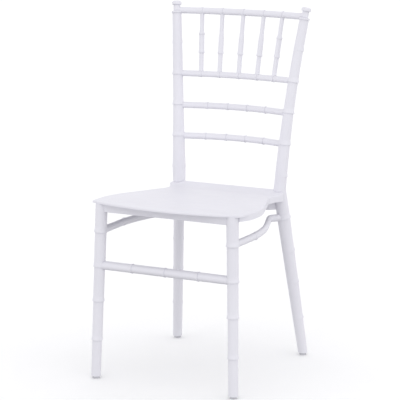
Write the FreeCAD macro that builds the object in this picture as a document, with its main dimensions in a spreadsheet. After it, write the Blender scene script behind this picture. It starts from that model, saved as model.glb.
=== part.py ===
import FreeCAD, Part
import math
import os
import Sketcher

# Chiavari chair, an assembly of moulded members joined by round tenons, millimetres.
# +Z is up, the chair faces -Y and the origin lies on the floor under its middle.

Vector = FreeCAD.Vector
Rotation = FreeCAD.Rotation
Placement = FreeCAD.Placement

# Driving dimensions. A depth is measured back from the middle of the front feet; a drop,
# rise, run or bay is measured from the piece that it is named after or belongs to.
SIZES = {
    # Front feet and legs
    "front_foot_y": -213.5,
    "front_foot_x": 191.1,
    "leg_lean_in": 11.5,
    "leg_lean_back": 16.5,
    "leg_shoulder_drop": 20.0,
    "leg_foot_dia": 23.5,
    "leg_shoulder_dia": 30.3,
    "leg_low_ring_z": 97.8,
    "leg_mid_ring_z": 197.2,
    "leg_ring_below_stretcher": 4.0,
    "leg_ring_below_brace": 2.5,
    # Raised rings that divide every member like a cane
    "ring_proud": 2.0,
    "ring_lip": 1.8,
    "ring_flare": 9.5,
    "small_ring_proud": 1.2,
    "small_ring_lip": 1.3,
    "small_ring_flare": 8.0,
    "small_ring_offset": 2.0,
    "ring_root_sink": 0.25,
    "ring_undercut": 0.15,
    "ring_bury": 0.1,
    "trim_margin": 12.0,
    # Bent rear posts, splayed outwards and backwards above and below the seat
    "knee_x": 144.2,
    "knee_behind_seat": 3.9,
    "knee_drop": 5.0,
    "splay_direction": 58.4,
    "foot_splay": 77.4,
    "head_splay": 77.0,
    "head_bend": 8.7,
    "head_rise": 23.2,
    "post_foot_dia": 24.2,
    "post_calf_z": 180.0,
    "post_calf_wide": 30.2,
    "post_calf_thick": 26.0,
    "post_thigh_wide": 34.8,
    "post_thigh_thick": 28.0,
    "post_knee_dia": 32.0,
    "post_waist_rise": 20.0,
    "post_waist_wide": 33.8,
    "post_waist_thick": 28.8,
    "post_back_wide": 27.2,
    "post_back_thick": 26.4,
    "post_head_dia": 23.3,
    "post_low_ring_z": 99.8,
    "post_mid_ring_z": 197.7,
    "post_high_ring_z": 281.4,
    "post_waist_ring_rise": 29.9,
    "post_upper_ring_drop": 84.4,
    "post_ring_below_brace": 4.5,
    "post_ring_off_cross": 0.6,
    "post_ring_below_spindles": 3.2,
    "finial_ring_overlap": 0.6,
    "finial_root": 6.0,
    "finial_ring_height": 5.0,
    "finial_neck_dia": 17.2,
    "finial_neck_length": 17.0,
    "finial_cap_dia": 24.4,
    "finial_cap_height": 9.5,
    "finial_cap_round": 4.5,
    # Bowed rails of the back
    "top_rail_z": 881.8,
    "top_rail_dia": 16.6,
    "spindle_bay": 160.3,
    "spindle_rail_dia": 15.4,
    "upper_bay": 81.3,
    "upper_cross_dia": 16.1,
    "lower_bay": 78.8,
    "lower_cross_dia": 16.0,
    "section_pitch": 30.0,
    "upper_bow": 22.2,
    "lower_bow": 28.9,
    "cross_ring_pitch": 55.4,
    # Turned spindles between the two upper rails
    "spindle_inner_share": 0.325,
    "spindle_outer_share": 0.63,
    "spindle_foot_dia": 11.6,
    "spindle_swell_dia": 13.4,
    "spindle_head_dia": 10.6,
    "spindle_ring_height": 54.0,
    "spindle_swell_height": 94.0,
    "spindle_neck_height": 111.0,
    "spindle_high_ring_height": 102.0,
    # Members below the seat
    "stretcher_z": 288.7,
    "stretcher_dia": 21.8,
    "stretcher_ring_pitch": 91.0,
    "brace_drop": 76.0,
    "brace_height": 18.5,
    "brace_width": 14.0,
    "brace_bow_out": 3.7,
    "brace_bow_run": 170.1,
    "brace_bow_radius": 400.0,
    "brace_neck_in": 22.6,
    "brace_neck_ahead": 38.3,
    "brace_elbow_in": 8.7,
    "brace_elbow_ahead": 20.3,
    "brace_bend_radius": 20.0,
    "brace_ring_run": 122.0,
    # Moulded seat
    "seat_front_z": 450.0,
    "seat_fall": 0.042,
    "seat_skirt": 17.0,
    "seat_lip": 5.2,
    "seat_skin": 4.5,
    "seat_wall": 4.0,
    "seat_rib": 2.6,
    "seat_rib_recess": 3.0,
    "seat_rib_pitch_x": 80.0,
    "seat_rib_pitch_y": 78.0,
    "seat_nose": 27.5,
    "seat_nose_bow": 29.7,
    "seat_nose_inset": 23.9,
    "seat_corner_radius": 12.0,
    "seat_corner_x": 203.9,
    "seat_hip_x": 212.2,
    "seat_hip_depth": 110.5,
    "seat_hip_radius": 250.0,
    "seat_neck_x": 140.5,
    "seat_neck_ahead": 49.8,
    "seat_neck_radius": 60.0,
    "seat_ear_x": 163.5,
    "seat_ear_ahead": 12.8,
    "seat_ear_radius": 7.0,
    "seat_rear_x": 150.0,
    "seat_rear_depth": 358.0,
    "seat_cove_run": 40.0,
    "seat_cove_rise": 11.8,
    "seat_cheek_depth": 47.0,
    "seat_cheek_radius": 50.0,
    "seat_edge_round": 2.4,
    "seat_spigot_dia": 14.0,
    "seat_spigot_length": 12.0,
    # Rails that carry the seat
    "apron_face_depth": 8.0,
    "apron_thickness": 12.0,
    "apron_drop": 26.5,
    "apron_edge_round": 1.5,
    "rear_rail_drop": 56.0,
    "rear_rail_ahead": 15.0,
    "rear_rail_behind": 11.0,
    "rear_rail_corner_cut": 13.0,
    "rear_rail_corner_round": 4.0,
    # Joints and fasteners
    "rail_tenon_dia": 10.0,
    "tenon_root": 30.0,
    "spindle_tenon_dia": 7.0,
    "spindle_tenon_stop": 1.5,
    "housing_sink": 0.4,
    "housing_margin": 1.0,
    "stretcher_tenon_dia": 13.0,
    "brace_tenon_dia": 8.0,
    "brace_front_root": 24.0,
    "brace_rear_root": 20.0,
    "rear_tenon_dia": 12.0,
    "rear_tenon_root": 32.0,
    "rear_tenon_ahead": 3.0,
    "apron_tenon_height": 12.0,
    "apron_tenon_width": 7.0,
    "apron_tenon_depth": 5.5,
    "tenon_clearance": 0.15,
    "tenon_end_gap": 0.5,
    "screw_spread": 70.0,
    "screw_ahead": 6.5,
    "screw_dia": 5.0,
    "screw_head_dia": 9.4,
    "screw_head_height": 4.0,
    "screw_recess": 5.0,
    "screw_length": 30.0,
    "screw_socket_width": 3.0,
    "screw_socket_depth": 2.2,
    "screw_tip_room": 5.0,
    "screw_tip_gap": 0.4,
    "insert_dia": 7.0,
    "insert_length": 9.0,
    "boss_dia": 13.0,
    # Glides
    "glide_height": 6.0,
    "glide_dia": 18.0,
    "glide_round": 1.0,
    "glide_stem_dia": 9.0,
    "glide_stem_length": 16.0,
}

# Heights and depths that follow from the sizes above, as formulas of the sheet.
PLACES = {
    "leg_shoulder_z": "seat_front_z - leg_shoulder_drop",
    "knee_z": "seat_front_z - knee_drop",
    "knee_depth": "seat_rear_depth + knee_behind_seat",
    "head_z": "top_rail_z + head_rise",
    "post_waist_z": "seat_front_z + post_waist_rise",
    "post_waist_ring_z": "seat_front_z + post_waist_ring_rise",
    "post_upper_ring_z": "top_rail_z - post_upper_ring_drop",
    "spindle_rail_z": "top_rail_z - spindle_bay",
    "upper_cross_z": "spindle_rail_z - upper_bay",
    "lower_cross_z": "upper_cross_z - lower_bay",
    "brace_z": "seat_front_z - brace_drop",
    "seat_nose_half": "seat_corner_x - seat_nose_inset",
    "seat_neck_depth": "seat_rear_depth - seat_neck_ahead",
    "seat_ear_depth": "seat_rear_depth - seat_ear_ahead",
    "seat_cove_depth": "seat_rear_depth - seat_cove_run",
    "apron_bottom_z": "seat_front_z - apron_drop",
    "rear_rail_bottom_z": "seat_front_z - rear_rail_drop",
    "rear_rail_front_depth": "seat_rear_depth - rear_rail_ahead",
    "rear_rail_back_depth": "seat_rear_depth + rear_rail_behind",
    "screw_depth": "seat_rear_depth - screw_ahead",
}

doc = FreeCAD.newDocument("ChiavariChair")
sheet = doc.addObject("Spreadsheet::Sheet", "Sizes")
cells = [(alias, str(value)) for alias, value in SIZES.items()]
cells += [(alias, "=" + formula) for alias, formula in PLACES.items()]
for row, (alias, content) in enumerate(cells, start=1):
    sheet.set(f"A{row}", alias.replace("_", " "))
    sheet.set(f"B{row}", content)
    sheet.setAlias(f"B{row}", alias)
doc.recompute()


def size(alias):
    """A driving dimension as the sheet holds it."""
    return float(sheet.get(alias))


# Parts that every section below uses

NODES = []


def add(kind, name, label=None, **properties):
    """A document object; text values are expressions, everything else is set as it is."""
    made = doc.addObject(kind, name)
    for key, value in properties.items():
        if isinstance(value, str):
            made.setExpression(key, value)
        else:
            setattr(made, key, value)
    if label:
        finish(made, label)
    return made


def finish(made, label):
    """Names a finished piece of the chair."""
    made.Label = label
    NODES.append(made)
    return made


def cut(name, base, tools, label=None):
    """The base without the tools."""
    tool = tools[0] if len(tools) == 1 else add("Part::MultiFuse", name + "_tools", Shapes=tools)
    return add("Part::Cut", name, label, Base=base, Tool=tool)


def fuse(name, shapes, label=None):
    return add("Part::MultiFuse", name, label, Shapes=shapes)


def common(name, shapes):
    return add("Part::MultiCommon", name, Shapes=shapes)


def along(start, direction):
    """A placement at start whose Z axis points along direction."""
    return Placement(start, Rotation(Vector(0, 0, 1), direction))


def rod(name, start, end, diameter):
    """A round bar between two points; the diameter is an expression."""
    return add(
        "Part::Cylinder", name,
        Radius=f"({diameter}) / 2",
        Height=(end - start).Length,
        Placement=along(start, end - start),
    )


def point(x, depth, z):
    """A point given by its depth behind the front feet."""
    return Vector(x, size("front_foot_y") + depth, z)


def box_between(name, low, high):
    span = high - low
    return add(
        "Part::Box", name,
        Length=span.x, Width=span.y, Height=span.z,
        Placement=Placement(low, Rotation()),
    )


def origin_plane(body, role):
    """One of the body's own origin planes."""
    return next(plane for plane in body.Origin.OriginFeatures if plane.Role == role)


def bound_sketch(body, name, role, corners):
    """A closed outline of straight edges whose corners are pairs of expressions."""
    sketch = body.newObject("Sketcher::SketchObject", name)
    sketch.AttachmentSupport = [(origin_plane(body, role), "")]
    sketch.MapMode = "FlatFace"
    count = len(corners)
    rough = [Vector(10 + index, 10 * index, 0) for index in range(count)]
    for index in range(count):
        sketch.addGeometry(Part.LineSegment(rough[index], rough[(index + 1) % count]), False)
    for index in range(count):
        sketch.addConstraint(Sketcher.Constraint("Coincident", index, 2, (index + 1) % count, 1))
    axis_of = {"DistanceX": -2, "DistanceY": -1}
    for index, corner in enumerate(corners):
        for kind, expression in zip(("DistanceX", "DistanceY"), corner):
            if expression == "0":
                sketch.addConstraint(Sketcher.Constraint("PointOnObject", index, 1, axis_of[kind]))
                continue
            distance = Sketcher.Constraint(kind, -1, 1, index, 1, index + 1.0)
            number = sketch.addConstraint(distance)
            sketch.setExpression(f"Constraints[{number}]", expression)
    return sketch


def turned_body(name, corners, placement):
    """A piece turned about its own Z axis; each corner is a radius and a height."""
    body = doc.addObject("PartDesign::Body", name)
    sketch = bound_sketch(body, name + "_profile", "XZ_Plane", corners)
    turning = body.newObject("PartDesign::Revolution", name + "_turning")
    turning.Profile = sketch
    turning.ReferenceAxis = (sketch, ["V_Axis"])
    turning.Angle = 360
    body.Placement = placement
    doc.recompute()
    return body


def round_body_edge(body, radius, chosen):
    """Rounds the body's edges that the test picks, in the body's own frame."""
    base = body.Tip
    names = [f"Edge{n}" for n, edge in enumerate(base.Shape.Edges, start=1) if chosen(edge)]
    rounding = body.newObject("PartDesign::Fillet", base.Name + "_round")
    rounding.Base = (base, names)
    rounding.setExpression("Radius", radius)
    doc.recompute()


def ring_on_bar(name, centre, direction, bar_dia):
    """A ring that flares out along the bar and steps back behind its lip."""
    flare = size("small_ring_flare")
    lip = size("small_ring_lip")
    outer = f"({bar_dia}) / 2 + Sizes.small_ring_proud"
    cone = add(
        "Part::Cone", name + "_flare",
        Radius1=f"({bar_dia}) / 2 - Sizes.ring_bury",
        Radius2=outer,
        Height="Sizes.small_ring_flare",
        Placement=along(centre - direction * (flare + lip), direction),
    )
    band = add(
        "Part::Cylinder", name + "_lip",
        Radius=outer,
        Height="Sizes.small_ring_lip",
        Placement=along(centre - direction * lip, direction),
    )
    return [cone, band]


def oval(name, placement, half_u, half_v):
    """An ellipse with half axes along local X and Y that always starts on local X."""
    curve = Part.Circle(Vector(), Vector(0, 0, 1), half_u).toBSpline()
    for number, pole in enumerate(curve.getPoles(), start=1):
        curve.setPole(number, Vector(pole.x, pole.y * half_v / half_u, 0))
    section = doc.addObject("Part::Feature", name)
    section.Shape = Part.Wire([curve.toShape()])
    section.Placement = placement
    return section


def mirrored(name, source, label=None):
    """The left hand twin of a right hand piece."""
    return add("Part::Mirroring", name, label, Source=source, Normal=Vector(1, 0, 0))


def both_sides(name, right, label=None):
    """A right hand piece and its mirrored twin, by side."""
    left_label = label + "_left" if label else None
    if label:
        finish(right, label + "_right")
    return {-1: mirrored(name + "_left", right, left_label), 1: right}


def ring_steps(lip_at, sense, style="ring"):
    """Stations of a ring along a bar; its lip steps back on the side that sense points to."""
    proud = size(style + "_proud")
    lip = size(style + "_lip")
    flare = size(style + "_flare")
    steps = [(size("ring_undercut"), 0), (0, proud), (-lip, proud), (-lip - flare, 0)]
    return [(lip_at + sense * offset, growth) for offset, growth in steps]


def bar_stations(start, end, lips, cuts, longest):
    """Places along a bar with how far the surface is raised there; gaps are subdivided."""
    stations = [(place, 0) for place in (start, end, *cuts)]
    for lip_at in lips:
        stations += ring_steps(lip_at, 1, "small_ring")
    stations.sort()
    filled = []
    for low, high in zip(stations, stations[1:]):
        filled.append(low)
        parts = math.ceil((high[0] - low[0]) / longest)
        filled += [(low[0] + (high[0] - low[0]) * step / parts, 0) for step in range(1, parts)]
    return filled + [stations[-1]]


def upright(heading):
    """A rotation with local Z along a level heading and local X upwards."""
    return Rotation(Vector(0, 0, 1), Vector(), heading, "ZXY")


def ruled_bar(name, frames):
    """A bar through oval sections; each frame is a placement and two half widths."""
    sections = []
    for step, (placement, half_u, half_v) in enumerate(frames):
        sections.append(oval(f"{name}_{step}", placement, half_u, half_v))
    return add("Part::Loft", name, Sections=sections, Solid=True, Ruled=True)


# Frame lines of the chair


def leg_point(side, z):
    """A point on a front leg's axis."""
    share = z / size("leg_shoulder_z")
    x = size("front_foot_x") - size("leg_lean_in") * share
    return point(side * x, size("leg_lean_back") * share, z)


def post_splay(z):
    """How far a post's axis stands out from its knee at a height, with its slope."""
    knee = size("knee_z")
    if z <= knee:
        slope = -size("foot_splay") / knee
        return slope * (z - knee), slope
    span = size("head_z") - knee
    share = (z - knee) / span
    bend = 4 * size("head_bend")
    splay = size("head_splay") * share - bend * share * (1 - share)
    slope = (size("head_splay") - bend * (1 - 2 * share)) / span
    return splay, slope


def post_point(side, z):
    """A point on a rear post's axis."""
    splay = post_splay(z)[0]
    angle = math.radians(size("splay_direction"))
    x = size("knee_x") + splay * math.cos(angle)
    return point(side * x, size("knee_depth") + splay * math.sin(angle), z)


def post_frame(side, z, square=True):
    """A frame on a post's axis with local X pointing outwards in the plane of its bend."""
    direction = size("splay_direction") if side > 0 else 180 - size("splay_direction")
    turn = Rotation(Vector(0, 0, 1), direction)
    if square:
        lean = math.degrees(math.atan(post_splay(z)[1]))
        turn = turn.multiply(Rotation(Vector(0, 1, 0), lean))
    return Placement(post_point(side, z), turn)


def half(alias):
    return size(alias) / 2


def post_stations():
    """Heights with the half widths in the plane of the bend and across it."""
    return [
        (size("glide_height"), half("post_foot_dia"), half("post_foot_dia")),
        (size("post_calf_z"), half("post_calf_wide"), half("post_calf_thick")),
        (size("brace_z"), half("post_thigh_wide"), half("post_thigh_thick")),
        (size("knee_z"), half("post_knee_dia"), half("post_knee_dia")),
        (size("post_waist_z"), half("post_waist_thick"), half("post_waist_wide")),
        (size("upper_cross_z"), half("post_back_thick"), half("post_back_wide")),
        (top_ring_z(), half("post_head_dia"), half("post_head_dia")),
    ]


def top_ring_z():
    """Underside of the thick ring under the top rail."""
    return size("top_rail_z") - half("top_rail_dia") + size("finial_ring_overlap")


def post_halves(z):
    """The half widths of a post at a height."""
    stations = post_stations()
    for low, high in zip(stations, stations[1:]):
        if z <= high[0]:
            share = (z - low[0]) / (high[0] - low[0])
            return [low[i] + (high[i] - low[i]) * share for i in (1, 2)]
    return list(stations[-1][1:])


# Seat planes and outlines


def seat_top_z(depth):
    """Height of the seat's flat top at a depth."""
    return size("seat_front_z") - size("seat_fall") * depth


def rounded_outline(corners):
    """A closed outline of lines and tangent arcs; each corner is a point and its radius."""
    edges = []
    ends = []
    count = len(corners)
    for index, (corner, radius) in enumerate(corners):
        before = corners[index - 1][0]
        after = corners[(index + 1) % count][0]
        ends.append(corner_arc(before, corner, after, radius))
    for index, (start, middle, end) in enumerate(ends):
        if middle:
            edges.append(Part.Arc(start, middle, end))
        following = ends[(index + 1) % count][0]
        if (following - end).Length > 0.001:
            edges.append(Part.LineSegment(end, following))
    return edges


def corner_arc(before, corner, after, radius):
    """Start, middle and end of the arc that rounds a corner; the middle is None when sharp."""
    if not radius:
        return corner, None, corner
    inward = (before - corner).normalize()
    outward = (after - corner).normalize()
    opening = inward.getAngle(outward)
    reach = radius / math.tan(opening / 2)
    bisector = (inward + outward).normalize()
    depth = radius / math.sin(opening / 2) - radius
    return corner + inward * reach, corner + bisector * depth, corner + outward * reach


def mirrored_outline(right_corners):
    """Both halves of an outline from its right half, listed from the front to the rear."""
    left = [(Vector(-spot.x, spot.y, 0), radius) for spot, radius in reversed(right_corners)]
    return right_corners + left


def seat_sides():
    """Right side of the seat from the hip to the rear edge."""
    names = ("hip", "neck", "ear")
    corners = []
    for name in names:
        spot = point(size(f"seat_{name}_x"), size(f"seat_{name}_depth"), 0)
        corners.append((spot, size(f"seat_{name}_radius")))
    corners.append((point(size("seat_rear_x"), size("seat_rear_depth"), 0), 0))
    return corners


def nose_lines():
    """Radius of the bowed front edge and the slope at its ends."""
    half_width = size("seat_nose_half")
    bow = size("seat_nose_bow")
    radius = (half_width ** 2 + bow ** 2) / (2 * bow)
    return radius, math.asin(half_width / radius)


def seat_corner():
    """The front corner, where the end of the bowed edge meets the side."""
    slope = nose_lines()[1]
    end_depth = size("seat_nose_bow") - size("seat_nose")
    x = size("seat_corner_x")
    return point(x, end_depth + (x - size("seat_nose_half")) * math.tan(slope), 0)


def seat_outline():
    radius, slope = nose_lines()
    apex = point(0, -size("seat_nose") - radius / math.cos(slope) + radius, 0)
    corner = (seat_corner(), size("seat_corner_radius"))
    return [(apex, radius)] + mirrored_outline([corner] + seat_sides())


def beyond_seat():
    """Half a width that clears both sides of the seat."""
    return size("seat_hip_x") + half("leg_shoulder_dia")


def past_seat():
    """A height that clears the seat, as far down as the wall below the rail at its rear."""
    return size("rear_rail_drop") + size("seat_wall")


def apron_back_depth():
    return size("apron_face_depth") + size("apron_thickness")


def skirt_outline():
    """The skirt leaves the front legs on a fair curve and runs into the seat's side."""
    corner = seat_corner()
    hip = seat_sides()[0][0]
    cheek_y = point(0, size("seat_cheek_depth"), 0).y
    share = (cheek_y - corner.y) / (hip.y - corner.y)
    cheek = corner + (hip - corner) * share
    leg = leg_point(1, size("leg_shoulder_z"))
    leg_radius = half("leg_shoulder_dia")
    reach = Vector(cheek.x - leg.x, cheek.y - leg.y, 0)
    turn = math.acos(leg_radius / reach.Length)
    heading = math.atan2(reach.y, reach.x) - turn
    touch = Vector(leg.x, leg.y, 0) + Vector(math.cos(heading), math.sin(heading), 0) * leg_radius
    front_y = point(0, apron_back_depth(), 0).y
    share = (front_y - touch.y) / (cheek.y - touch.y)
    front = touch + (cheek - touch) * share
    return mirrored_outline([(front, 0), (cheek, size("seat_cheek_radius"))] + seat_sides())


def extruded(name, base, direction, length):
    prism = add("Part::Extrusion", name, Base=base, Dir=direction, LengthFwd=length, Solid=True)
    prism.DirMode = "Custom"
    return prism


def extruded_outline(name, geometry, low, high):
    """A prism over a plan outline."""
    sketch = doc.addObject("Sketcher::SketchObject", name + "_plan")
    sketch.addGeometry(geometry, False)
    sketch.Placement = Placement(Vector(0, 0, low), Rotation())
    doc.recompute()
    return extruded(name, sketch, Vector(0, 0, 1), high - low)


def side_prism(name, geometry):
    """A prism across the whole seat over an outline drawn in the YZ plane."""
    half_width = beyond_seat()
    sketch = doc.addObject("Sketcher::SketchObject", name + "_side")
    sketch.addGeometry(geometry, False)
    upright = Rotation(Vector(0, 1, 0), Vector(0, 0, 1), Vector(1, 0, 0), "XYZ")
    sketch.Placement = Placement(Vector(-half_width, 0, 0), upright)
    doc.recompute()
    return extruded(name, sketch, Vector(1, 0, 0), 2 * half_width)


def seat_section(drop, bottom_drop):
    """Side outline of the seat, lowered by a drop at the top, as deep as its skirt below."""
    front = -2 * size("seat_nose")
    cove = size("seat_cove_depth")
    rear = size("seat_rear_depth") + size("seat_lip")
    slope = math.atan(size("seat_fall"))
    run = size("seat_rear_depth") - cove
    rise = size("seat_cove_rise")
    turn = 2 * math.atan2(rise + run * size("seat_fall"), run)
    radius = run / (math.sin(turn - slope) + math.sin(slope))
    start = Vector(point(0, cove, 0).y, seat_top_z(cove) - drop, 0)
    centre = start + Vector(math.sin(slope), math.cos(slope), 0) * radius

    def on_cove(angle):
        return centre + Vector(math.sin(angle), -math.cos(angle), 0) * radius

    over = math.asin((rear - cove - math.sin(slope) * radius) / radius)
    floor_z = seat_top_z(cove) - bottom_drop
    corners = [
        Vector(point(0, front, 0).y, seat_top_z(front) - bottom_drop, 0),
        Vector(point(0, front, 0).y, seat_top_z(front) - drop, 0),
        start,
        on_cove(over),
        Vector(on_cove(over).x, floor_z, 0),
        Vector(start.x, floor_z, 0),
    ]
    edges = [Part.LineSegment(corners[0], corners[1]), Part.LineSegment(corners[1], corners[2])]
    edges.append(Part.Arc(start, on_cove((over - slope) / 2), corners[3]))
    for index in (3, 4, 5):
        edges.append(Part.LineSegment(corners[index], corners[(index + 1) % 6]))
    return edges


# Front legs


def leg_blank():
    """The right leg: round, thicker after each ring, before it is cut to length."""
    foot = leg_point(1, 0)
    axis = leg_point(1, size("leg_shoulder_z")) - foot
    stretch = axis.Length / size("leg_shoulder_z")
    slope = "(Sizes.leg_shoulder_dia - Sizes.leg_foot_dia) / 2 / Sizes.leg_shoulder_z"
    levels = [
        "0",
        "Sizes.leg_low_ring_z",
        "Sizes.leg_mid_ring_z",
        "(Sizes.stretcher_z - Sizes.leg_ring_below_stretcher)",
        "(Sizes.brace_z - Sizes.leg_ring_below_brace)",
        "Sizes.leg_shoulder_z",
    ]
    top = "(Sizes.seat_front_z + Sizes.seat_lip)"
    corners = [("0", "0")]
    for low, high in zip(levels, levels[1:]):
        radius = f"Sizes.leg_foot_dia / 2 + {slope} * ({low} + {high}) / 2"
        start, end = f"{low} * {stretch:.6f}", f"{high} * {stretch:.6f}"
        if low == "0":
            corners.append((radius, start))
        else:
            lip = f"Sizes.leg_foot_dia / 2 + {slope} * {low} + Sizes.ring_proud"
            flare = f"{start} + Sizes.ring_lip"
            corners += [(lip, start), (lip, flare), (radius, f"{flare} + Sizes.ring_flare")]
        corners.append((radius, end if high != levels[-1] else top))
    corners.append(("0", top))
    return turned_body("leg_blank_right", corners, along(foot, axis))


SIDE_NAMES = {-1: "left", 1: "right"}
SIDES = (-1, 1)


def lip_zone(name):
    """Everything above the underside of the seat's front lip."""
    reach = past_seat()
    width = 2 * beyond_seat()
    front = point(-width / 2, -reach, seat_top_z(-reach) - size("seat_lip"))
    tilt = Rotation(Vector(1, 0, 0), -math.degrees(math.atan(size("seat_fall"))))
    depth = 2 * reach + apron_back_depth()
    return add("Part::Box", name, Length=width, Width=depth, Height=reach,
               Placement=Placement(front, tilt))


LEG_BLANKS = both_sides("leg_blank", leg_blank())


# Rear posts


def seat_floor_z():
    """Level underside of the skirt at the rear of the seat."""
    return seat_top_z(size("seat_cove_depth")) - size("seat_skirt")


def rear_tenon_z():
    """Height of the tenons of the rail under the rear of the seat."""
    return (size("rear_rail_bottom_z") + seat_floor_z()) / 2


def post_frames():
    """Sections of the post: its foot, knee and waist, and four for each ring."""
    ring_half = size("ring_proud") / 2
    joint_rings = [
        size("brace_z") - size("post_ring_below_brace"),
        size("lower_cross_z") - size("post_ring_off_cross"),
        size("upper_cross_z") + size("post_ring_off_cross"),
        size("spindle_rail_z") - size("post_ring_below_spindles"),
    ]
    plain_rings = [
        size("post_low_ring_z"),
        size("post_mid_ring_z"),
        size("post_high_ring_z"),
        size("post_waist_ring_z"),
        size("post_upper_ring_z"),
    ]
    margin = size("trim_margin")
    levels = [(size("post_waist_z"), 0, 0), (top_ring_z(), 0, 0)]
    levels += [(z - margin, 0, 0) for z in joint_rings[1:]]
    levels += [(z, 0, 0) for z in (rear_tenon_z() - margin, rear_tenon_z() + margin)]
    for z in joint_rings:
        levels += [(level, growth, 0) for level, growth in ring_steps(z, -1)]
    for z in plain_rings:
        steps = ring_steps(z, -1)
        levels += [(level, growth / 2, ring_half if growth else 0) for level, growth in steps]
    frames = []
    for z, growth, shift in sorted(levels):
        frame = post_frame(1, z).multiply(Placement(Vector(shift, 0, 0), Rotation()))
        inward, across = post_halves(z)
        frames.append((z, frame, inward + growth, across + growth))
    for z in (size("glide_height"), size("knee_z")):
        frames.append((z, post_frame(1, z, square=False), *post_halves(z)))
    return [frame[1:] for frame in sorted(frames, key=lambda frame: frame[0])]


def post_blank():
    """The right post, bent, with its rings and finial, before its sockets are cut."""
    return fuse("post_blank_right", [ruled_bar("post_shaft", post_frames()), finial()])


def finial():
    """A thick ring, a neck and a mushroom cap turned on the top of a post."""
    root = "Sizes.finial_root"
    frame = post_frame(1, top_ring_z())
    ring = f"{root} + Sizes.finial_ring_height"
    neck = f"{ring} + Sizes.finial_neck_length"
    cap = f"{neck} + Sizes.finial_cap_height"
    ring_radius = "Sizes.post_head_dia / 2 + Sizes.ring_proud"
    corners = [
        ("0", "0"),
        ("Sizes.finial_neck_dia / 2", "0"),
        ("Sizes.finial_neck_dia / 2", root),
        (ring_radius, root),
        (ring_radius, ring),
        ("Sizes.finial_neck_dia / 2", ring),
        ("Sizes.finial_neck_dia / 2", neck),
        ("Sizes.finial_cap_dia / 2", neck),
        ("Sizes.finial_cap_dia / 2", cap),
        ("0", cap),
    ]
    start = frame.multiply(Placement(Vector(0, 0, -size("finial_root")), Rotation()))
    body = turned_body("post_finial", corners, start)
    lengths = ("finial_root", "finial_ring_height", "finial_neck_length", "finial_cap_height")
    crown = sum(size(length) for length in lengths)
    outer = half("finial_cap_dia")

    def is_crown(edge):
        return edge.Vertexes[0].Z > crown - 0.01 and edge.Vertexes[0].X > outer - 0.01

    round_body_edge(body, "Sizes.finial_cap_round", is_crown)
    return body


POST_BLANKS = both_sides("post_blank", post_blank())


# Bowed rails of the back


class Bow:
    """The arc of a back rail between the two posts."""

    def __init__(self, z, bow):
        end = post_point(1, z)
        self.z = z
        self.half_width = end.x
        self.radius = (end.x ** 2 + bow ** 2) / (2 * bow)
        self.centre = Vector(0, end.y + bow - self.radius, z)
        self.half_angle = math.asin(end.x / self.radius)

    def at(self, x):
        angle = math.asin(x / self.radius)
        return self.centre + Vector(math.sin(angle), math.cos(angle), 0) * self.radius

    def heading(self, x):
        angle = math.asin(x / self.radius)
        return Vector(math.cos(angle), -math.sin(angle), 0)


BOWS = {
    "top_rail": Bow(size("top_rail_z"), size("upper_bow")),
    "spindle_rail": Bow(size("spindle_rail_z"), size("upper_bow")),
    "upper_cross_rail": Bow(size("upper_cross_z"), size("lower_bow")),
    "lower_cross_rail": Bow(size("lower_cross_z"), size("lower_bow")),
}
RAIL_DIAS = {
    "top_rail": "top_rail_dia",
    "spindle_rail": "spindle_rail_dia",
    "upper_cross_rail": "upper_cross_dia",
    "lower_cross_rail": "lower_cross_dia",
}


def spindle_shares():
    inner = size("spindle_inner_share")
    outer = size("spindle_outer_share")
    return [-outer, -inner, 0, inner, outer]


def rail_blank(name):
    """A bowed round rail with a ring at each spindle or at even steps."""
    bow = BOWS[name]
    if name in ("top_rail", "spindle_rail"):
        spots = [share * bow.half_width for share in spindle_shares()]
    else:
        spots = [step * size("cross_ring_pitch") for step in (-1.5, -0.5, 0.5, 1.5)]
    lips = [x + size("small_ring_offset") for x in spots]
    shoulder = bow.half_width - 2 * size("trim_margin")
    cuts = [-shoulder, shoulder]
    if name in ("top_rail", "spindle_rail"):
        cuts += [x + half("spindle_swell_dia") + size("housing_margin") for x in spots]
    frames = []
    pitch = size("section_pitch")
    for x, growth in bar_stations(-bow.half_width, bow.half_width, lips, cuts, pitch):
        radius = half(RAIL_DIAS[name]) + growth
        frames.append((Placement(bow.at(x), upright(bow.heading(x))), radius, radius))
    return ruled_bar(name + "_blank", frames)


RAIL_BLANKS = {name: rail_blank(name) for name in BOWS}


def rail_peg(name, grow, extra):
    """The two tenons of a rail, or with growth the sockets for them."""
    bow = BOWS[name]
    pegs = []
    for side in SIDES:
        end_x = side * (bow.half_width - size("tenon_end_gap") + extra)
        root_x = side * (bow.half_width - size("tenon_root"))
        pegs.append(rod(
            f"{name}_peg_{SIDE_NAMES[side]}_{int(extra * 10)}",
            bow.at(root_x), bow.at(end_x), f"Sizes.rail_tenon_dia + {grow}",
        ))
    return pegs


SOCKET_GROW = "2 * Sizes.tenon_clearance"
RAIL_SOCKETS = {name: rail_peg(name, SOCKET_GROW, size("tenon_end_gap")) for name in BOWS}


# Spindles


def spindle_line(number):
    share = spindle_shares()[number - 1]
    ends = []
    for name in ("spindle_rail", "top_rail"):
        bow = BOWS[name]
        ends.append(bow.at(share * bow.half_width))
    return ends


def housing(rail_dia, bar_dia):
    """Height above a rail's axis of the flat seat that takes the full width of a bar."""
    sink = size("housing_sink")
    return math.sqrt((size(rail_dia) / 2) ** 2 - (size(bar_dia) / 2) ** 2) - sink


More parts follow.
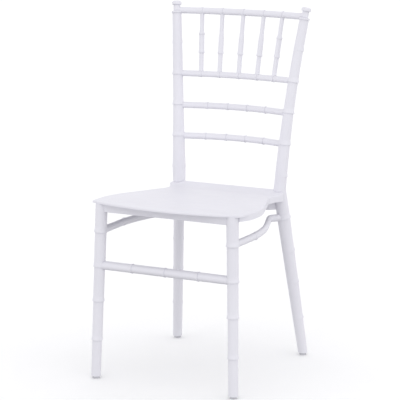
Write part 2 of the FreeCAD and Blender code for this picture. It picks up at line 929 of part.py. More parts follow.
def spindle_corners(length, with_high_ring):
    """Turned outline, tenon to tenon, along the line between the two rails' axes."""
    ring = "Sizes.spindle_ring_height"
    lip_radius = "Sizes.spindle_swell_dia / 2 + Sizes.small_ring_proud"
    lip = "Sizes.small_ring_lip"
    flare = f"{lip} + Sizes.small_ring_flare"
    tenon = "Sizes.spindle_tenon_dia / 2"
    foot = f"{housing('spindle_rail_dia', 'spindle_foot_dia'):.4f}"
    head = f"{length - housing('top_rail_dia', 'spindle_head_dia'):.4f}"
    corners = [
        ("0", "Sizes.spindle_tenon_stop"),
        (tenon, "Sizes.spindle_tenon_stop"),
        (tenon, foot),
        ("Sizes.spindle_foot_dia / 2", foot),
        ("Sizes.spindle_foot_dia / 2", ring),
        (lip_radius, ring),
        (lip_radius, f"{ring} + {lip}"),
        ("Sizes.spindle_swell_dia / 2", f"{ring} + {flare}"),
    ]
    if with_high_ring:
        high = "Sizes.spindle_high_ring_height"
        corners += [
            ("Sizes.spindle_swell_dia / 2", high),
            (lip_radius, high),
            (lip_radius, f"{high} + {lip}"),
            ("Sizes.spindle_head_dia / 2", f"{high} + {flare}"),
        ]
    else:
        corners += [
            ("Sizes.spindle_swell_dia / 2", "Sizes.spindle_swell_height"),
            ("Sizes.spindle_head_dia / 2", "Sizes.spindle_neck_height"),
        ]
    tip = f"{length:.4f} - Sizes.spindle_tenon_stop"
    corners += [("Sizes.spindle_head_dia / 2", head), (tenon, head), (tenon, tip), ("0", tip)]
    return corners


def spindle_numbers():
    """The spindles from left to right."""
    return range(1, len(spindle_shares()) + 1)


def spindle(number):
    low, high = spindle_line(number)
    is_outer = number in (spindle_numbers()[0], spindle_numbers()[-1])
    corners = spindle_corners((high - low).Length, is_outer)
    name = f"spindle_{number}"
    finish(turned_body(name + "_turned", corners, along(low, high - low)), name)


for spindle_number in spindle_numbers():
    spindle(spindle_number)


def spindle_housings(rail):
    """Stepped holes that take the spindles' ends, with clearance all round."""
    holes = []
    gap = size("tenon_end_gap")
    for number in spindle_numbers():
        low, high = spindle_line(number)
        axis = (high - low).normalize()
        if rail == "top_rail":
            start, inward, bar_dia = high, -axis, "spindle_head_dia"
        else:
            start, inward, bar_dia = low, axis, "spindle_foot_dia"
        outside = start + inward * size(rail + "_dia")
        floor = start + inward * housing(rail + "_dia", bar_dia)
        bottom = start + inward * (size("spindle_tenon_stop") - gap)
        bore = f"Sizes.spindle_tenon_dia + {SOCKET_GROW}"
        name = f"{rail}_{number}"
        holes.append(rod(name + "_seat", floor, outside, f"Sizes.{bar_dia} + {SOCKET_GROW}"))
        holes.append(rod(name + "_bore", bottom, outside, bore))
    return holes


def back_rail(name):
    """A rail between the posts: shoulders fitted to them, tenons, spindle sockets."""
    tools = list(POST_BLANKS.values())
    shaft = cut(name + "_shaft", RAIL_BLANKS[name], tools)
    rail = fuse(name + "_whole", [shaft] + rail_peg(name, "0", 0))
    if name not in ("top_rail", "spindle_rail"):
        return finish(rail, name)
    return cut(name + "_bored", rail, spindle_housings(name), name)


for rail_name in BOWS:
    back_rail(rail_name)


# Front stretcher


def stretcher_peg(name, grow, extra):
    z = size("stretcher_z")
    dia = f"Sizes.stretcher_tenon_dia + {grow}"
    pegs = []
    for side in SIDES:
        leg = leg_point(side, z)
        end = leg - Vector(side * (size("tenon_end_gap") - extra), 0, 0)
        root = leg - Vector(side * size("tenon_root"), 0, 0)
        pegs.append(rod(f"{name}_{SIDE_NAMES[side]}", root, end, dia))
    return pegs


def front_stretcher():
    z = size("stretcher_z")
    left, right = leg_point(-1, z), leg_point(1, z)
    parts = [rod("stretcher_bar", left, right, "Sizes.stretcher_dia")]
    for step in (-1, 0, 1):
        x = step * size("stretcher_ring_pitch") + size("small_ring_offset")
        centre = Vector(x, left.y, z)
        name = f"stretcher_ring_{step + 1}"
        parts += ring_on_bar(name, centre, Vector(1, 0, 0), "Sizes.stretcher_dia")
    blank = fuse("stretcher_blank", parts)
    shaft = cut("stretcher_shaft", blank, list(LEG_BLANKS.values()))
    fuse("stretcher_whole", [shaft] + stretcher_peg("stretcher_tenon", "0", 0), "front_stretcher")


front_stretcher()


# Side braces


def brace_route():
    """Corners of the right brace's plan path from the leg's axis to the post's axis."""
    z = size("brace_z")
    start, end = leg_point(1, z), post_point(1, z)
    return [
        start,
        start + Vector(size("brace_bow_out"), size("brace_bow_run"), 0),
        end - Vector(size("brace_neck_in"), size("brace_neck_ahead"), 0),
        end - Vector(size("brace_elbow_in"), size("brace_elbow_ahead"), 0),
        end,
    ]


def brace_path():
    """Straight runs joined by tangent arcs."""
    route = brace_route()
    radii = [0, size("brace_bow_radius"), size("brace_bend_radius"), size("brace_bend_radius"), 0]
    edges = []
    last = route[0]
    for index in (1, 2, 3):
        around = route[index - 1:index + 2]
        start, middle, end = corner_arc(*around, radii[index])
        edges.append(Part.LineSegment(last, start).toShape())
        edges.append(Part.Arc(start, middle, end).toShape())
        last = end
    edges.append(Part.LineSegment(last, route[4]).toShape())
    path = doc.addObject("Part::Feature", "brace_path")
    path.Shape = Part.Wire(edges)
    return path


def brace_runs():
    """The runs of the brace, straight ones extruded and bent ones turned about their centres."""
    halves = half("brace_height"), half("brace_width")
    runs = []
    for number, edge in enumerate(brace_path().Shape.Edges):
        first, last = edge.ParameterRange
        start, heading = edge.valueAt(first), edge.tangentAt(first)
        name = f"brace_run_{number}"
        section = oval(name + "_section", Placement(start, upright(heading)), *halves)
        if isinstance(edge.Curve, Part.Line):
            runs.append(extruded(name, section, heading, edge.Length))
        else:
            turn = heading.getAngle(edge.tangentAt(last))
            sense = 1 if heading.cross(edge.tangentAt(last)).z > 0 else -1
            runs.append(add(
                "Part::Revolution", name,
                Source=section, Base=edge.Curve.Center, Axis=Vector(0, 0, sense),
                Angle=math.degrees(turn), Solid=True,
            ))
    return runs


def brace_ring():
    """The ring on the brace's first run, its lip towards the rear."""
    start, target = brace_route()[:2]
    heading = (target - start).normalize()
    proud = size("small_ring_proud")
    steps = [
        (size("small_ring_lip") + size("small_ring_flare"), -size("ring_root_sink")),
        (size("small_ring_lip"), proud),
        (0, proud),
    ]
    frames = []
    for before, growth in steps:
        place = start + heading * (size("brace_ring_run") - before)
        widths = half("brace_height") + growth, half("brace_width") + growth
        frames.append((Placement(place, upright(heading)), *widths))
    return ruled_bar("brace_ring", frames)


def brace_blank():
    return fuse("brace_blank", brace_runs() + [brace_ring()])


def brace_pegs(name, grow, extra):
    """Round tenons on the right brace's two ends, or with growth the sockets for them."""
    route = brace_route()
    gap = size("tenon_end_gap") - extra
    front = (route[1] - route[0]).normalize()
    rear = (route[3] - route[4]).normalize()
    front_root = front * size("brace_front_root")
    rear_root = rear * size("brace_rear_root")
    dia = f"Sizes.brace_tenon_dia + {grow}"
    return [
        rod(name + "_front", route[0] + front * gap, route[0] + front_root, dia),
        rod(name + "_rear", route[4] + rear * gap, route[4] + rear_root, dia),
    ]


def side_brace():
    shaft = cut("brace_shaft", brace_blank(), [LEG_BLANKS[1], POST_BLANKS[1]])
    whole = fuse("brace_whole", [shaft] + brace_pegs("brace_tenon", "0", 0))
    both_sides("brace_whole", whole, "side_brace")


side_brace()


# Rail under the front of the seat


def apron_tenons(name, grow, extra):
    """Flat tenons that reach into the front legs."""
    tall = size("apron_tenon_height") + grow
    wide = size("apron_tenon_width") + grow
    top_z = seat_top_z(size("apron_face_depth")) - size("seat_lip")
    middle_z = (size("apron_bottom_z") + top_z) / 2
    depth = size("apron_face_depth") + size("apron_thickness") / 2
    blocks = []
    for side in SIDES:
        leg = leg_point(side, middle_z)
        inner = leg.x - side * size("tenon_root")
        outer = leg.x - side * (half("leg_shoulder_dia") - size("apron_tenon_depth") - extra)
        low = point(min(inner, outer), depth - wide / 2, middle_z - tall / 2)
        high = point(max(inner, outer), depth + wide / 2, middle_z + tall / 2)
        blocks.append(box_between(f"{name}_{SIDE_NAMES[side]}", low, high))
    return blocks


def front_seat_rail():
    body = doc.addObject("PartDesign::Body", "apron_body")
    face = "(Sizes.front_foot_y + Sizes.apron_face_depth)"
    back = f"({face} + Sizes.apron_thickness)"
    under_lip = "Sizes.seat_front_z - Sizes.seat_lip * sqrt(1 + Sizes.seat_fall ^ 2)"
    face_top = f"{under_lip} - Sizes.seat_fall * Sizes.apron_face_depth"
    back_top = f"{face_top} - Sizes.seat_fall * Sizes.apron_thickness"
    corners = [
        (face, "Sizes.apron_bottom_z"),
        (back, "Sizes.apron_bottom_z"),
        (back, back_top),
        (face, face_top),
    ]
    sketch = bound_sketch(body, "apron_section", "YZ_Plane", corners)
    pad = body.newObject("PartDesign::Pad", "apron_length")
    pad.Profile = sketch
    pad.SideType = "Symmetric"
    pad.Length = 2 * leg_point(1, size("leg_shoulder_z")).x
    doc.recompute()
    bottom = size("apron_bottom_z")

    def is_bottom_edge(edge):
        box = edge.BoundBox
        return box.ZMax < bottom + 0.01 and box.XLength > box.YLength

    round_body_edge(body, "Sizes.apron_edge_round", is_bottom_edge)
    shaft = cut("apron_shaft", body, list(LEG_BLANKS.values()))
    fuse("apron_whole", [shaft] + apron_tenons("apron_tenon", 0, 0), "front_seat_rail")


front_seat_rail()


# Rail under the rear of the seat


def screw_spots(z):
    return [point(side * size("screw_spread"), size("screw_depth"), z) for side in SIDES]


def rear_peg(name, grow, extra):
    z = rear_tenon_z()
    pegs = []
    for side in SIDES:
        post = post_point(side, z)
        end = post - Vector(side * (size("tenon_end_gap") - extra), size("rear_tenon_ahead"), 0)
        root = Vector(post.x - side * size("rear_tenon_root"), end.y, z)
        pegs.append(rod(f"{name}_{SIDE_NAMES[side]}", root, end, f"Sizes.rear_tenon_dia + {grow}"))
    return pegs


def rear_seat_rail():
    low, high = size("rear_rail_bottom_z"), seat_floor_z()
    post = post_point(1, (low + high) / 2)
    front = point(0, size("rear_rail_front_depth"), 0).y
    back = point(0, size("rear_rail_back_depth"), 0).y
    step = size("rear_rail_corner_cut")
    right = [
        (Vector(post.x - 2 * step, front, 0), size("rear_rail_corner_round")),
        (Vector(post.x - step, front + step, 0), 0),
        (Vector(post.x, front + step, 0), 0),
        (Vector(post.x, back, 0), 0),
    ]
    blank = extruded_outline("rear_rail_bar", rounded_outline(mirrored_outline(right)), low, high)
    shaft = cut("rear_rail_shaft", blank, list(POST_BLANKS.values()))
    rail = fuse("rear_rail_whole", [shaft] + rear_peg("rear_tenon", "0", 0))
    holes = []
    for number, spot in enumerate(screw_spots(low), start=1):
        up = Vector(0, 0, high - low + size("screw_recess"))
        lift = Vector(0, 0, size("screw_recess"))
        hole = f"Sizes.screw_dia + {SOCKET_GROW}"
        holes.append(rod(f"rear_rail_hole_{number}", spot, spot + up, hole))
        recess = f"Sizes.screw_head_dia + {SOCKET_GROW}"
        holes.append(rod(f"rear_rail_recess_{number}", spot - up, spot + lift, recess))
    cut("rear_rail_bored", rail, holes, "rear_seat_rail")


rear_seat_rail()


# Screws and threaded inserts that hold the seat down


def seat_screws():
    """Socket head screws that enter from below."""
    low = size("rear_rail_bottom_z") + size("screw_recess") - size("screw_head_height")
    head = "Sizes.screw_head_height"
    shank_end = f"{head} + Sizes.screw_length"
    corners = [
        ("Sizes.screw_socket_width / 2", "0"),
        ("Sizes.screw_head_dia / 2", "0"),
        ("Sizes.screw_head_dia / 2", head),
        ("Sizes.screw_dia / 2", head),
        ("Sizes.screw_dia / 2", shank_end),
        ("0", shank_end),
        ("0", "Sizes.screw_socket_depth"),
        ("Sizes.screw_socket_width / 2", "Sizes.screw_socket_depth"),
    ]
    screws = []
    for number, spot in enumerate(screw_spots(low), start=1):
        screws.append(turned_body(f"seat_screw_{number}", corners, along(spot, Vector(0, 0, 1))))
    add("Part::Compound", "seat_screw_pair", "seat_screws", Links=screws)


def seat_inserts():
    """Brass sleeves pressed into the seat's bosses; the screws pass through them."""
    inner = "Sizes.screw_dia / 2"
    corners = [
        (inner, "0"),
        ("Sizes.insert_dia / 2", "0"),
        ("Sizes.insert_dia / 2", "Sizes.insert_length"),
        (inner, "Sizes.insert_length"),
    ]
    inserts = []
    for number, spot in enumerate(screw_spots(seat_floor_z()), start=1):
        inserts.append(turned_body(f"seat_insert_{number}", corners, along(spot, Vector(0, 0, 1))))
    add("Part::Compound", "seat_insert_pair", "seat_inserts", Links=inserts)


seat_screws()
seat_inserts()


# Seat


def seat_spigot(side, name, grow, extra):
    """A stud under each front corner that plugs into the top of the leg."""
    top = leg_point(side, size("leg_shoulder_z"))
    top.z = seat_top_z(size("leg_lean_back")) - size("seat_lip") / 2
    length = size("seat_lip") / 2 + size("seat_spigot_length") + extra
    return rod(f"{name}_{SIDE_NAMES[side]}", top - Vector(0, 0, length), top,
               f"Sizes.seat_spigot_dia + {grow}")


def rounded_seat_blank():
    """The full depth seat with a soft edge all round its top."""
    outline = rounded_outline(seat_outline())
    middle, reach = size("seat_front_z"), past_seat()
    plan = extruded_outline("seat_plan", outline, middle - reach, middle + reach)
    slab = side_prism("seat_slab", seat_section(0, size("seat_skirt")))
    blank = common("seat_blank", [plan, slab])
    doc.recompute()
    top_faces = [face for face in blank.Shape.Faces if face.normalAt(0, 0).z > 0.5]
    top_edges = [edge for face in top_faces for edge in face.Edges]
    shared = [edge.hashCode() for edge in top_edges]
    rims = []
    for number, edge in enumerate(blank.Shape.Edges, start=1):
        if shared.count(edge.hashCode()) == 1:
            rims.append((number, size("seat_edge_round"), size("seat_edge_round")))
    return add("Part::Fillet", "seat_soft", Base=blank, Edges=rims)


def seat_ribs():
    """Lengthwise and cross ribs that divide the hollow under the seat."""
    thick = size("seat_rib")
    reach = past_seat()
    low_z, high_z = size("seat_front_z") - reach, size("seat_front_z") + reach
    front, rear = point(0, 0, 0).y, point(0, size("seat_rear_depth") + reach, 0).y
    ribs = []
    for number, step in enumerate((-1.5, -0.5, 0.5, 1.5)):
        x = step * size("seat_rib_pitch_x") - thick / 2
        low, high = Vector(x, front, low_z), Vector(x + thick, rear, high_z)
        ribs.append(box_between(f"seat_long_rib_{number}", low, high))
    for number in (1, 2, 3):
        y = front + apron_back_depth() + number * size("seat_rib_pitch_y") - thick / 2
        low, high = Vector(-beyond_seat(), y, low_z), Vector(beyond_seat(), y + thick, high_z)
        ribs.append(box_between(f"seat_cross_rib_{number}", low, high))
    return ribs


def seat_hollow(skirt):
    """The space inside the skirt and under the skin, less ribs and screw bosses."""
    inner_plan = add(
        "Part::Offset2D", "seat_inner_plan",
        Source=skirt.Base, Value="-Sizes.seat_wall",
    )
    doc.recompute()
    reach = past_seat()
    inner = extruded("seat_inner", inner_plan, Vector(0, 0, 1), 2 * reach)
    under = side_prism("seat_under_skin", seat_section(size("seat_skin"), reach))
    space = common("seat_space", [inner, under])
    recessed = seat_section(0, size("seat_skirt") - size("seat_rib_recess"))
    rib_zone = side_prism("seat_rib_zone", recessed)
    ribs = common("seat_rib_grid", [fuse("seat_rib_boxes", seat_ribs()), rib_zone])
    bosses = []
    for number, spot in enumerate(screw_spots(seat_floor_z()), start=1):
        top = spot + Vector(0, 0, reach)
        bosses.append(rod(f"seat_boss_{number}", spot, top, "Sizes.boss_dia"))
    return cut("seat_hollow", space, [ribs] + bosses)


def seat_panel():
    soft = rounded_seat_blank()
    middle, reach = size("seat_front_z"), past_seat()
    outline = rounded_outline(skirt_outline())
    skirt = extruded_outline("seat_skirt_plan", outline, middle - reach, middle + reach)
    above = lip_zone("seat_above_lip")
    under_lip = cut("seat_under_lip", soft, [above, skirt])
    hollow = seat_hollow(skirt)
    shell = cut("seat_shell", soft, [under_lip, hollow])
    spigots = [seat_spigot(side, "seat_spigot", "0", 0) for side in SIDES]
    fitted = cut("seat_fitted", shell, list(LEG_CUTTERS.values()) + list(POST_BLANKS.values()))
    joined = fuse("seat_joined", [fitted] + spigots)
    bores = []
    for number, spot in enumerate(screw_spots(seat_floor_z()), start=1):
        sleeve = Vector(0, 0, size("insert_length"))
        tip = Vector(0, 0, size("insert_length") + size("screw_tip_room"))
        wide, narrow = "Sizes.insert_dia", "Sizes.screw_dia + Sizes.screw_tip_gap"
        bores.append(rod(f"seat_sleeve_bore_{number}", spot - sleeve, spot + sleeve, wide))
        bores.append(rod(f"seat_tip_bore_{number}", spot, spot + tip, narrow))
    cut("seat_bored", joined, bores, "seat_panel")


# A leg that ends against the underside of the seat's lip, to fit the skirt to it.
LEG_CUTTERS = both_sides("leg_cutter", cut("leg_cutter", LEG_BLANKS[1], [lip_zone("leg_lip")]))
seat_panel()


# Glides


def glide_corners():
    return [
        ("0", "0"),
        ("Sizes.glide_dia / 2 - Sizes.glide_round", "0"),
        ("Sizes.glide_dia / 2", "Sizes.glide_round"),
        ("Sizes.glide_dia / 2", "Sizes.glide_height"),
        ("Sizes.glide_stem_dia / 2", "Sizes.glide_height"),
        ("Sizes.glide_stem_dia / 2", "Sizes.glide_height + Sizes.glide_stem_length"),
        ("0", "Sizes.glide_height + Sizes.glide_stem_length"),
    ]


def glide_foot(end, side):
    """Where a leg's axis meets the top of its glide, projected on the floor."""
    line = leg_point if end == "front" else post_point
    foot = line(side, size("glide_height"))
    foot.z = 0
    return foot


def glide_bore(end):
    foot = glide_foot(end, 1)
    top = size("glide_height") + size("glide_stem_length") + size("tenon_end_gap")
    grown = f"Sizes.glide_stem_dia + {SOCKET_GROW}"
    return rod(f"{end}_glide_bore", foot, foot + Vector(0, 0, top), grown)


def glides():
    """Four alike, plugged into the ends of the legs and posts."""
    plugs = []
    for end in ("front", "rear"):
        for side in SIDES:
            place = along(glide_foot(end, side), Vector(0, 0, 1))
            plugs.append(turned_body(f"{end}_glide_{SIDE_NAMES[side]}", glide_corners(), place))
    add("Part::Compound", "glide_set", "glides", Links=plugs)


glides()


# Finished legs and posts


def floor_zone(name):
    """Everything below the tops of the glides."""
    far = size("seat_rear_depth")
    return box_between(name, Vector(-far, -far, -far), Vector(far, far, size("glide_height")))


def front_legs():
    """The right leg with its sockets, and its twin."""
    end_gap = size("tenon_end_gap")
    tools = [
        floor_zone("leg_floor"),
        stretcher_peg("stretcher_socket", SOCKET_GROW, end_gap)[1],
        apron_tenons("apron_socket", 2 * size("tenon_clearance"), end_gap)[1],
        brace_pegs("leg_brace_socket", SOCKET_GROW, end_gap)[0],
        glide_bore("front"),
        seat_spigot(1, "spigot_socket", SOCKET_GROW, end_gap),
    ]
    leg = cut("leg_right", LEG_CUTTERS[1], tools)
    both_sides("leg", leg, "front_leg")


def rear_posts():
    """The right post with its sockets, and its twin."""
    end_gap = size("tenon_end_gap")
    tools = [RAIL_SOCKETS[name][1] for name in BOWS]
    tools += [
        rear_peg("rear_socket", SOCKET_GROW, end_gap)[1],
        brace_pegs("post_brace_socket", SOCKET_GROW, end_gap)[1],
        glide_bore("rear"),
    ]
    doc.recompute()
    bored = POST_BLANKS[1].Shape
    for tool in tools:
        bored = bored.cut(tool.Shape)
    post = doc.addObject("Part::Feature", "post_right")
    post.Shape = bored
    both_sides("post", post, "rear_post")


front_legs()
rear_posts()
doc.recompute()

# Checks and files

faulty = [made.Name for made in doc.Objects if "Invalid" in made.State or "Error" in made.State]
if faulty:
    raise RuntimeError("these objects failed: " + ", ".join(faulty))
for node in NODES:
    if node.Shape.isNull() or not node.Shape.isValid():
        raise RuntimeError("no valid shape: " + node.Label)

os.makedirs("parts", exist_ok=True)
for node in NODES:
    node.Shape.exportStep(os.path.join("parts", node.Label + ".step"))
    print(node.Label, len(node.Shape.Solids), "solids", round(node.Shape.Volume), "mm3")
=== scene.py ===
import math

import bpy
from mathutils import Matrix, Vector

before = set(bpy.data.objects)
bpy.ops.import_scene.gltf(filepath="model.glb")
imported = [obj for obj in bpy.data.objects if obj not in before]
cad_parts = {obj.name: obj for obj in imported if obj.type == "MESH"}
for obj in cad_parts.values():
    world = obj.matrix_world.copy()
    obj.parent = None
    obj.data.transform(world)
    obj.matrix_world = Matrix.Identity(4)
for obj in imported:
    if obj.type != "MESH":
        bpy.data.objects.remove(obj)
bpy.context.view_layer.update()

SCENE = bpy.context.scene


# Colours, as linear red, green and blue

RESIN_LIGHT = (0.781, 0.773, 0.828)
RESIN_SHADE = (0.759, 0.751, 0.808)
# Painted shade: a darker resin colour mixed in where creases and corners lie in shadow
RESIN_CREASE_SHADE = (0.54, 0.54, 0.60)
FOOT_LIGHT = (0.640, 0.640, 0.680)
FOOT_DARK = (0.520, 0.520, 0.560)
STEEL_LIGHT = (0.62, 0.61, 0.60)
STEEL_DARK = (0.42, 0.42, 0.42)
BRASS_LIGHT = (0.72, 0.55, 0.27)
BRASS_DARK = (0.52, 0.38, 0.16)
FLOOR_LIGHT = (0.990, 0.990, 0.995)
FLOOR_DARK = (0.975, 0.975, 0.980)


# Resin: scales are noise cycles in a metre, heights and reaches are metres

RESIN_CLOUD_SCALE = 9.0
RESIN_CLOUD_SPAN = (0.3, 0.7)
# Painted shade in creases: how far the occlusion rays reach, and the span that sets how
# dark it gets
RESIN_CREASE_SHADE_REACH = 0.005
RESIN_CREASE_SHADE_SPAN = (0.35, 0.85)
RESIN_PATCH_SCALE = 38.0
RESIN_PATCH_SPAN = (0.25, 0.75)
RESIN_ROUGHNESS = (0.36, 0.50)
RESIN_WAVE_SCALE = 16.0
RESIN_WAVE_HEIGHT = 0.0012
RESIN_WAVE_STRENGTH = 0.18
RESIN_GRAIN_SCALE = 1900.0
RESIN_GRAIN_HEIGHT = 0.00003
RESIN_GRAIN_STRENGTH = 0.5
RESIN_IOR = 1.49
RESIN_SPECULAR = 0.42


# Foot plastic, turned metal and floor, in the same units

FOOT_SCUFF_SCALE = 260.0
FOOT_SCUFF_STRETCH = (1.0, 0.35, 1.0)
FOOT_COLOUR_SPAN = (0.42, 0.72)
FOOT_ROUGHNESS_SPAN = (0.3, 0.7)
FOOT_ROUGHNESS = (0.48, 0.72)
FOOT_GRAIN_SCALE = 1400.0
FOOT_GRAIN_HEIGHT = 0.00005
FOOT_GRAIN_STRENGTH = 0.6

METAL_MARK_SCALE = 420.0
METAL_MARK_STRETCH = (1.0, 1.0, 6.0)
METAL_MARK_SPAN = (0.3, 0.7)
METAL_MARK_HEIGHT = 0.00004
METAL_MARK_STRENGTH = 0.4
STEEL_ROUGHNESS = (0.25, 0.41)
BRASS_ROUGHNESS = (0.27, 0.43)

FLOOR_HALF = 40.0
FLOOR_MOTTLE_SCALE = 3.0
FLOOR_MOTTLE_SPAN = (0.3, 0.7)
FLOOR_ROUGHNESS = 0.9
FLOOR_SPECULAR = 0.1


# Rays sent out by the shader that finds creases

CREASE_SAMPLES = 12


# Light: each level is a direction's height, from -1 straight down to 1 straight up,
# and its brightness, and the lean is the dome's strength behind and towards a side

SKY_LEVELS = (
    (-1.0, 0.10), (-0.5, 0.72), (-0.2, 1.24), (0.05, 1.26), (0.5, 1.12), (1.0, 1.03),
)
SKY_BLUE = 1.01
RAMP_MIDDLE = 0.5
FRONT_RIGHT = (0.805, -0.594, 0.0)
SKY_LEAN = (0.86, 1.09)


# Camera, as solved from the photograph

CAMERA_PLACE = (2.1585, -4.2516, 1.4033)
CAMERA_AZIMUTH = math.radians(27.0)
CAMERA_ELEVATION = math.radians(11.51)
FOCAL_PIXELS = 1938.6
IMAGE_PIXELS = 400.0
SENSOR_MM = 36.0
CLIP_END = 200.0


# Node helpers

def new_material(name):
    """An empty node material, its tree and its Principled shader."""
    material = bpy.data.materials.new(name)
    material.use_nodes = True
    tree = material.node_tree
    tree.nodes.clear()
    output = tree.nodes.new("ShaderNodeOutputMaterial")
    shader = tree.nodes.new("ShaderNodeBsdfPrincipled")
    tree.links.new(shader.outputs["BSDF"], output.inputs["Surface"])
    return material, tree, shader


def object_coordinates(tree):
    """The place on the object, in metres."""
    return tree.nodes.new("ShaderNodeTexCoord").outputs["Object"]


def noise(tree, coordinates, scale, detail, roughness=0.5, stretch=None):
    """A noise texture, stretched along the axes when asked."""
    node = tree.nodes.new("ShaderNodeTexNoise")
    node.inputs["Scale"].default_value = scale
    node.inputs["Detail"].default_value = detail
    node.inputs["Roughness"].default_value = roughness
    source = coordinates
    if stretch is not None:
        mapping = tree.nodes.new("ShaderNodeMapping")
        mapping.inputs["Scale"].default_value = stretch
        tree.links.new(coordinates, mapping.inputs["Vector"])
        source = mapping.outputs["Vector"]
    tree.links.new(source, node.inputs["Vector"])
    return node.outputs["Fac"]


def ramp(tree, source, limits, colour_low, colour_high):
    """Maps a value between two limits to a colour between two colours."""
    node = tree.nodes.new("ShaderNodeValToRGB")
    first, last = node.color_ramp.elements
    first.position, last.position = limits
    first.color = (*colour_low, 1.0)
    last.color = (*colour_high, 1.0)
    tree.links.new(source, node.inputs["Fac"])
    return node.outputs["Color"]


def span(tree, source, limits, results):
    """Maps a value between two limits to a value between two results."""
    node = tree.nodes.new("ShaderNodeMapRange")
    node.inputs["From Min"].default_value = limits[0]
    node.inputs["From Max"].default_value = limits[1]
    node.inputs["To Min"].default_value = results[0]
    node.inputs["To Max"].default_value = results[1]
    tree.links.new(source, node.inputs["Value"])
    return node.outputs["Result"]


def bump(tree, height, distance, strength, below=None):
    """A bump node; below is the normal of a coarser bump that this one lies on."""
    node = tree.nodes.new("ShaderNodeBump")
    node.inputs["Distance"].default_value = distance
    node.inputs["Strength"].default_value = strength
    tree.links.new(height, node.inputs["Height"])
    if below is not None:
        tree.links.new(below, node.inputs["Normal"])
    return node.outputs["Normal"]


def creases(tree, reach, limits):
    """0 in corners that lie deep within the reach, 1 on open surface."""
    node = tree.nodes.new("ShaderNodeAmbientOcclusion")
    node.samples = CREASE_SAMPLES
    node.inputs["Distance"].default_value = reach
    return span(tree, node.outputs["AO"], limits, (0.0, 1.0))


def mixed(tree, share, colour_at_0, colour_at_1):
    """Mixes a plain colour with a colour output by a share."""
    node = tree.nodes.new("ShaderNodeMix")
    node.data_type = "RGBA"
    node.inputs["A"].default_value = (*colour_at_0, 1.0)
    tree.links.new(share, node.inputs["Factor"])
    tree.links.new(colour_at_1, node.inputs["B"])
    return node.outputs["Result"]


# Materials

def moulded_resin(name):
    """Satin white resin: faint clouds, painted shade darkening its creases, fine grain and
    slight sink waves.
    """
    material, tree, shader = new_material(name)
    place = object_coordinates(tree)
    cloud = noise(tree, place, RESIN_CLOUD_SCALE, detail=3.0)
    clean = ramp(tree, cloud, RESIN_CLOUD_SPAN, RESIN_SHADE, RESIN_LIGHT)
    # Painted shade: the resin colour is darkened towards the crease shade colour in
    # corners and creases
    crease_shade = creases(tree, RESIN_CREASE_SHADE_REACH, RESIN_CREASE_SHADE_SPAN)
    tree.links.new(mixed(tree, crease_shade, RESIN_CREASE_SHADE, clean), shader.inputs["Base Color"])
    patches = noise(tree, place, RESIN_PATCH_SCALE, detail=3.0, roughness=0.6)
    gloss = span(tree, patches, RESIN_PATCH_SPAN, RESIN_ROUGHNESS)
    tree.links.new(gloss, shader.inputs["Roughness"])
    waves = noise(tree, place, RESIN_WAVE_SCALE, detail=1.0)
    grain = noise(tree, place, RESIN_GRAIN_SCALE, detail=1.0)
    soft = bump(tree, waves, RESIN_WAVE_HEIGHT, RESIN_WAVE_STRENGTH)
    fine = bump(tree, grain, RESIN_GRAIN_HEIGHT, RESIN_GRAIN_STRENGTH, below=soft)
    tree.links.new(fine, shader.inputs["Normal"])
    shader.inputs["IOR"].default_value = RESIN_IOR
    shader.inputs["Specular IOR Level"].default_value = RESIN_SPECULAR
    return material


def rubbed_plastic(name):
    """Pale grey foot plastic, scuffed where it has been dragged over floors."""
    material, tree, shader = new_material(name)
    place = object_coordinates(tree)
    scuffs = noise(
        tree, place, FOOT_SCUFF_SCALE,
        detail=5.0, roughness=0.7, stretch=FOOT_SCUFF_STRETCH,
    )
    colour = ramp(tree, scuffs, FOOT_COLOUR_SPAN, FOOT_DARK, FOOT_LIGHT)
    tree.links.new(colour, shader.inputs["Base Color"])
    gloss = span(tree, scuffs, FOOT_ROUGHNESS_SPAN, FOOT_ROUGHNESS)
    tree.links.new(gloss, shader.inputs["Roughness"])
    grain = noise(tree, place, FOOT_GRAIN_SCALE, detail=2.0)
    fine = bump(tree, grain, FOOT_GRAIN_HEIGHT, FOOT_GRAIN_STRENGTH)
    tree.links.new(fine, shader.inputs["Normal"])
    return material


def turned_metal(name, light, dark, roughness):
    """Machined metal with fine marks left by the tool."""
    material, tree, shader = new_material(name)
    place = object_coordinates(tree)
    marks = noise(
        tree, place, METAL_MARK_SCALE,
        detail=4.0, roughness=0.65, stretch=METAL_MARK_STRETCH,
    )
    colour = ramp(tree, marks, METAL_MARK_SPAN, dark, light)
    tree.links.new(colour, shader.inputs["Base Color"])
    gloss = span(tree, marks, METAL_MARK_SPAN, roughness)
    tree.links.new(gloss, shader.inputs["Roughness"])
    fine = bump(tree, marks, METAL_MARK_HEIGHT, METAL_MARK_STRENGTH)
    tree.links.new(fine, shader.inputs["Normal"])
    shader.inputs["Metallic"].default_value = 1.0
    return material


def pale_floor(name):
    """A matt studio sweep with the faintest mottling."""
    material, tree, shader = new_material(name)
    mottle = noise(tree, object_coordinates(tree), FLOOR_MOTTLE_SCALE, detail=4.0)
    colour = ramp(tree, mottle, FLOOR_MOTTLE_SPAN, FLOOR_DARK, FLOOR_LIGHT)
    tree.links.new(colour, shader.inputs["Base Color"])
    shader.inputs["Roughness"].default_value = FLOOR_ROUGHNESS
    shader.inputs["Specular IOR Level"].default_value = FLOOR_SPECULAR
    return material


WHITE = moulded_resin("white_resin_moulded")
FOOT = rubbed_plastic("glide_plastic_scuffed")
STEEL = turned_metal("screw_steel_turned", STEEL_LIGHT, STEEL_DARK, STEEL_ROUGHNESS)
BRASS = turned_metal("insert_brass_turned", BRASS_LIGHT, BRASS_DARK, BRASS_ROUGHNESS)

FINISHES = {"glides": FOOT, "seat_screws": STEEL, "seat_inserts": BRASS}
for name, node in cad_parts.items():
    finish = FINISHES.get(name, WHITE)
    if not node.material_slots:
        node.data.materials.append(finish)
    for material_slot in node.material_slots:
        material_slot.material = finish


# Floor

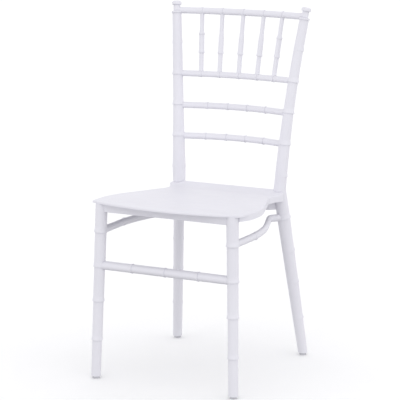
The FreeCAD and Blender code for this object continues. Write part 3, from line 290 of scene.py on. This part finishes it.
CORNERS = ((-1, -1), (1, -1), (1, 1), (-1, 1))
floor_mesh = bpy.data.meshes.new("studio_floor")
floor_mesh.from_pydata(
    [(x * FLOOR_HALF, y * FLOOR_HALF, 0) for x, y in CORNERS], [], [(0, 1, 2, 3)])
floor = bpy.data.objects.new("studio_floor", floor_mesh)
SCENE.collection.objects.link(floor)
floor.data.materials.append(pale_floor("studio_floor_pale"))
floor.visible_diffuse = False


# Light

def sky(levels, side, lean):
    """A soft dome whose strength changes with height and from one side to the other."""
    world = bpy.data.worlds.new("studio_dome")
    SCENE.world = world
    world.use_nodes = True
    tree = world.node_tree
    tree.nodes.clear()
    output = tree.nodes.new("ShaderNodeOutputWorld")
    background = tree.nodes.new("ShaderNodeBackground")
    direction = tree.nodes.new("ShaderNodeTexCoord").outputs["Generated"]
    split = tree.nodes.new("ShaderNodeSeparateXYZ")
    tree.links.new(direction, split.inputs["Vector"])
    height = tree.nodes.new("ShaderNodeValToRGB")
    stops = height.color_ramp.elements
    while len(stops) < len(levels):
        stops.new(RAMP_MIDDLE)
    for stop, (rise, grey) in zip(stops, levels):
        stop.position = (rise + 1) / 2
        stop.color = (grey, grey, grey * SKY_BLUE, 1.0)
    tree.links.new(span(tree, split.outputs["Z"], (-1, 1), (0, 1)), height.inputs["Fac"])
    across = tree.nodes.new("ShaderNodeVectorMath")
    across.operation = "DOT_PRODUCT"
    across.inputs[1].default_value = side
    tree.links.new(direction, across.inputs[0])
    strength = span(tree, across.outputs["Value"], (-1, 1), lean)
    tree.links.new(height.outputs["Color"], background.inputs["Color"])
    tree.links.new(strength, background.inputs["Strength"])
    tree.links.new(background.outputs["Background"], output.inputs["Surface"])


sky(SKY_LEVELS, FRONT_RIGHT, SKY_LEAN)


# Camera

lens = bpy.data.cameras.new("photo_camera")
lens.sensor_width = SENSOR_MM
lens.lens = FOCAL_PIXELS / IMAGE_PIXELS * SENSOR_MM
lens.clip_end = CLIP_END
camera = bpy.data.objects.new("photo_camera", lens)
backward = Vector((
    math.sin(CAMERA_AZIMUTH) * math.cos(CAMERA_ELEVATION),
    -math.cos(CAMERA_AZIMUTH) * math.cos(CAMERA_ELEVATION),
    math.sin(CAMERA_ELEVATION),
))
sideways = Vector((math.cos(CAMERA_AZIMUTH), math.sin(CAMERA_AZIMUTH), 0.0))
upward = backward.cross(sideways)
turn = Matrix((sideways, upward, backward)).transposed()
camera.matrix_world = Matrix.Translation(CAMERA_PLACE) @ turn.to_4x4()
SCENE.collection.objects.link(camera)
SCENE.camera = camera
SCENE.view_settings.view_transform = "Standard"
